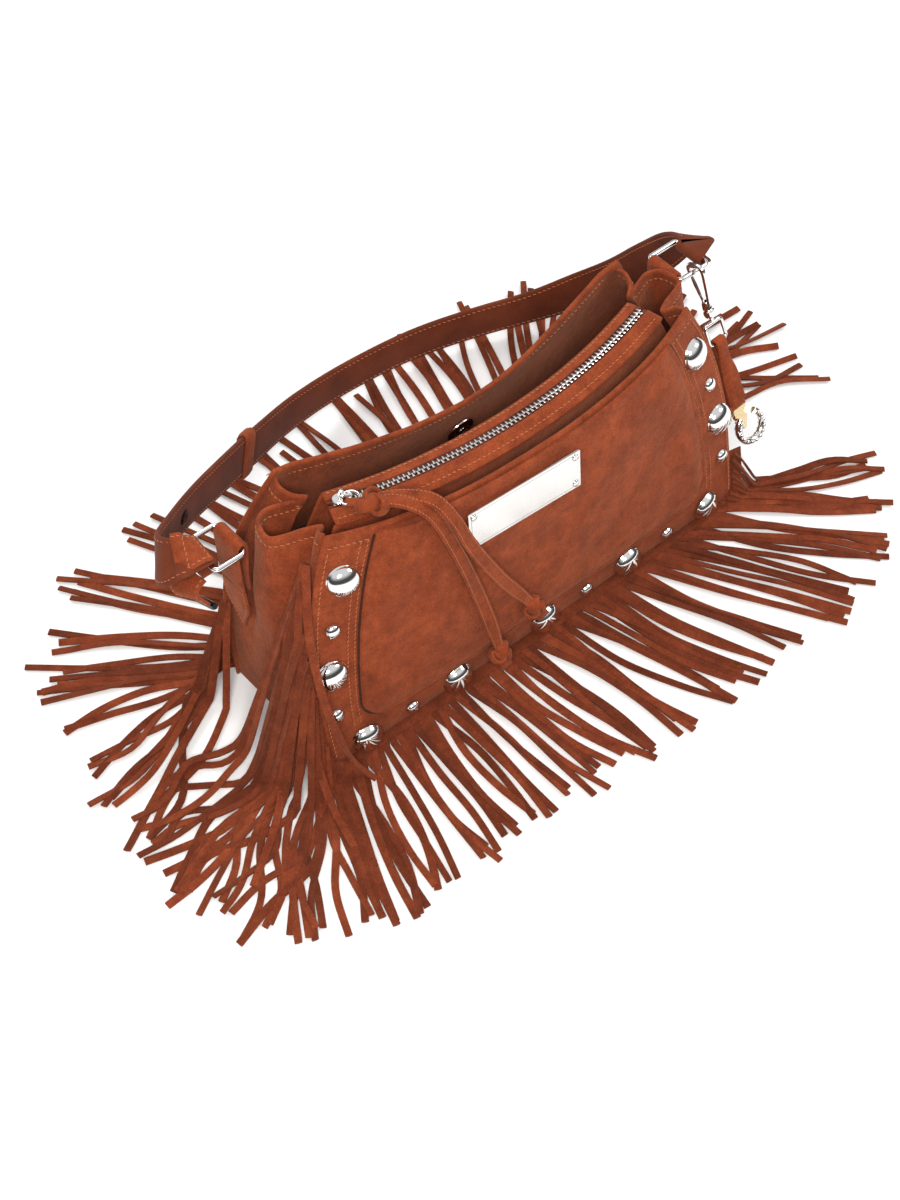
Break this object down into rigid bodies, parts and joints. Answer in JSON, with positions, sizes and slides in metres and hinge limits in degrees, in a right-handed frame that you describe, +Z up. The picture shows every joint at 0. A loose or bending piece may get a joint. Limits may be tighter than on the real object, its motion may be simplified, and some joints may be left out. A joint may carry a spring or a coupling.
{
  "type": "shoulder bag",
  "caption": "Fringed suede shoulder bag: trapezoid body with open and zipped compartments, arched zip, domed studs, plain metal plate, ring-hung strap and a swivel charm",
  "frame": {"origin": "centre of the flat base, on the surface the bag stands on", "axes": "+X runs along the zip to the bag's right-hand end as seen from the front, -Y is the front with the plate, +Z is up"},
  "size_m": [0.5507, 0.339, 0.1699],
  "materials": {
    "suede": "soft brushed nap, matte",
    "lining": "plain dark woven lining",
    "strap_leather": "smooth dark brown inner face of the strap",
    "steel": "polished bright metal",
    "dark_steel": "polished dark metal",
    "gold": "pale gold, knurled"
  },
  "bodies": {
    "bag": {"base_panel": "suede", "front_panel": "suede", "front_patch": "suede", "back_panel": "suede", "gusset_left": "suede", "gusset_right": "suede", "pouch_front_wall": "suede", "pouch_back_wall": "suede", "zip_side_front": "suede", "zip_side_back": "suede", "tab_left": "suede", "tab_right": "suede", "front_fringe": "suede", "back_fringe": "suede", "front_lining": "lining", "back_lining": "lining", "zip_teeth_front": "steel", "zip_teeth_back": "steel", "front_plate": "steel", "plate_screw_1": "steel", "plate_screw_2": "steel", "plate_screw_3": "steel", "plate_screw_4": "steel", "stud_large_1": "steel", "stud_large_2": "steel", "stud_large_3": "steel", "stud_large_4": "steel", "stud_large_5": "steel", "stud_large_6": "steel", "stud_large_7": "steel", "stud_large_8": "steel", "stud_large_9": "steel", "stud_small_1": "steel", "stud_small_2": "steel", "stud_small_3": "steel", "stud_small_4": "steel", "stud_small_5": "steel", "stud_small_6": "steel", "stud_small_7": "steel", "stud_small_8": "steel", "magnet_front": "steel", "magnet_back": "steel"},
    "strap": {"strap": "strap_leather", "strap_keeper": "strap_leather", "strap_end": "suede", "strap_end_bar": "dark_steel", "press_stud": "dark_steel", "ring_left": "steel", "ring_right": "steel"},
    "slider": {"zip_slider": "steel"},
    "pull": {"pull_ring": "steel", "pull_thong": "suede"},
    "hook": {"hook_frame": "steel", "hook_neck": "steel"},
    "gate": {"hook_gate": "steel"},
    "charm": {"swivel_eye": "steel", "charm_strap": "suede", "charm_tip": "gold", "charm_horseshoe": "steel", "charm_flower": "steel"}
  },
  "joints": [
    {"name": "strap_swing", "type": "hinge", "parent": "bag", "child": "strap", "pos_m": [0, 0.026, 0.138], "axis": [1, 0, 0], "range_deg": [0, 180], "deforming": ["tab_left", "tab_right"]},
    {"name": "zip_slide", "type": "hinge", "parent": "bag", "child": "slider", "pos_m": [0, 0.33844, 0.1544], "axis": [0, 0, 1], "range_deg": [0, 33]},
    {"name": "pull_lift", "type": "hinge", "parent": "slider", "child": "pull", "pos_m": [-0.10382, -0.00359, 0.1591], "axis": [-0.9569, 0.2905, 0], "range_deg": [0, 75]},
    {"name": "hook_swing", "type": "hinge", "parent": "strap", "child": "hook", "pos_m": [0.1685, 0.013, 0.138], "axis": [-1, 0, 0], "range_deg": [0, 180]},
    {"name": "gate_open", "type": "hinge", "parent": "hook", "child": "gate", "pos_m": [0.17001, 0.00663, 0.11738], "axis": [0.9975, 0.0281, 0.0645], "range_deg": [0, 20], "stiffness_Nm_per_rad": 0.002},
    {"name": "swivel_turn", "type": "hinge", "parent": "hook", "child": "charm", "pos_m": [0.17089, -0.00055, 0.10691], "axis": [0.0703, -0.3986, -0.9144], "continuous": true}
  ],
  "couplings": [
    {"joint": "pull_lift", "follows": "zip_slide", "ratio": 2.25},
    {"joint": "hook_swing", "follows": "strap_swing", "ratio": 1}
  ]
}
